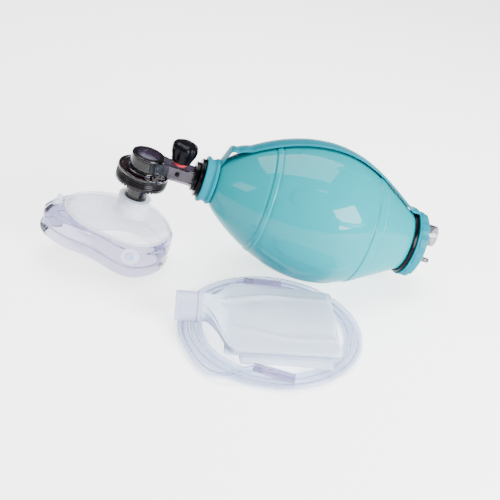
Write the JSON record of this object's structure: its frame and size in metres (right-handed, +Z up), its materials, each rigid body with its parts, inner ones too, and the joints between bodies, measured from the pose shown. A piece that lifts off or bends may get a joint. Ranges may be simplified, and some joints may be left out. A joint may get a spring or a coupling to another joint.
{
  "type": "bag valve mask",
  "caption": "Manual resuscitator: silicone squeeze bag with strap, patient valve with relief knob, clear face mask, reservoir bag and coiled oxygen tubing laid beside it.",
  "frame": {"origin": "centre of the footprint of the object without its tubing, on the table it rests on", "axes": "+Z up from the table, +X from the mask towards the bag's rear, +Y towards the bag's far side; the reservoir bag and the tubing lie on the -Y side"},
  "size_m": [0.407, 0.2722, 0.1445],
  "materials": {
    "silicone_teal": "semi-gloss translucent silicone",
    "black_plastic": "gloss",
    "smoke_plastic": "transparent smoke polysulfone, gloss",
    "smoke_clear": "transparent, gloss",
    "red_silicone": "satin silicone",
    "clear_silicone": "clear silicone, gloss",
    "frosted_silicone": "frosted clear silicone, satin",
    "blue_silicone": "pale blue silicone, satin",
    "clear_tubing": "clear vinyl, gloss",
    "violet_plastic": "tinted soft vinyl, gloss",
    "white_film": "thin translucent film, soft sheen",
    "white_plastic": "translucent white plastic, satin",
    "steel": "satin"
  },
  "bodies": {
    "bag": {"bag_shell": "silicone_teal", "hand_strap": "silicone_teal", "swivel_seat": "black_plastic", "rear_clamp_band": "black_plastic", "intake_ring_nut": "silicone_teal", "intake_housing": "silicone_teal", "reservoir_port": "smoke_clear", "oxygen_nipple": "smoke_clear"},
    "intake_flap": {"intake_disc": "frosted_silicone"},
    "valve": {"valve_housing": "smoke_plastic", "valve_ring": "smoke_plastic", "lip_valve": "red_silicone", "patient_connector": "smoke_plastic", "swivel_sleeve": "black_plastic", "relief_seal": "red_silicone", "relief_body": "black_plastic", "relief_spring": "steel", "pressure_port_plug": "black_plastic"},
    "exhalation_flap": {"exhalation_disc": "frosted_silicone"},
    "poppet": {"relief_poppet": "white_plastic"},
    "cap": {"relief_cap": "black_plastic"},
    "mask": {"mask_dome": "clear_silicone", "mask_cushion": "frosted_silicone", "mask_neck_insert": "frosted_silicone", "inflation_valve": "clear_silicone", "side_plug_seat": "clear_silicone"},
    "plug": {"side_plug": "blue_silicone"},
    "tubing": {"oxygen_tubing": "clear_tubing", "tube_connector_inner": "violet_plastic", "tube_connector_outer": "violet_plastic"},
    "reservoir": {"reservoir_socket": "white_plastic", "reservoir_ring": "white_plastic", "reservoir_bag": "white_film"}
  },
  "joints": [
    {"name": "valve_swivel", "type": "hinge", "parent": "bag", "child": "valve", "pos_m": [-0.04584, 0.05074, 0.09958], "axis": [0.9716, 0, -0.2366], "continuous": true},
    {"name": "mask_swivel", "type": "hinge", "parent": "valve", "child": "mask", "pos_m": [-0.10992, 0.05074, 0.06887], "axis": [0.2366, 0, 0.9716], "continuous": true},
    {"name": "relief_cap_turn", "type": "hinge", "parent": "valve", "child": "cap", "pos_m": [-0.06394, 0.05074, 0.12457], "axis": [0.2366, 0, 0.9716], "range_deg": [0, 90]},
    {"name": "relief_lift", "type": "slide", "parent": "valve", "child": "poppet", "axis": [0.2366, 0, 0.9716], "range_m": [0, 0.002], "stiffness_N_per_m": 400, "springref_m": -0.002, "deforming": ["relief_spring"]},
    {"name": "exhalation_lift", "type": "slide", "parent": "valve", "child": "exhalation_flap", "axis": [0.2366, 0, 0.9716], "range_m": [0, 0.002]},
    {"name": "intake_lift", "type": "slide", "parent": "bag", "child": "intake_flap", "axis": [-0.9716, 0, 0.2366], "range_m": [0, 0.002], "stiffness_N_per_m": 10, "springref_m": -0.003},
    {"name": "side_plug_pull", "type": "slide", "parent": "mask", "child": "plug", "axis": [0, -1, 0], "range_m": [0, 0.006]},
    {"name": "tubing_draw", "type": "slide", "parent": "bag", "child": "tubing", "axis": [0, -1, 0], "range_m": [0, 0.12]},
    {"name": "reservoir_lift", "type": "slide", "parent": "tubing", "child": "reservoir", "axis": [0, -0.6, 0.8], "range_m": [0, 0.12]}
  ]
}
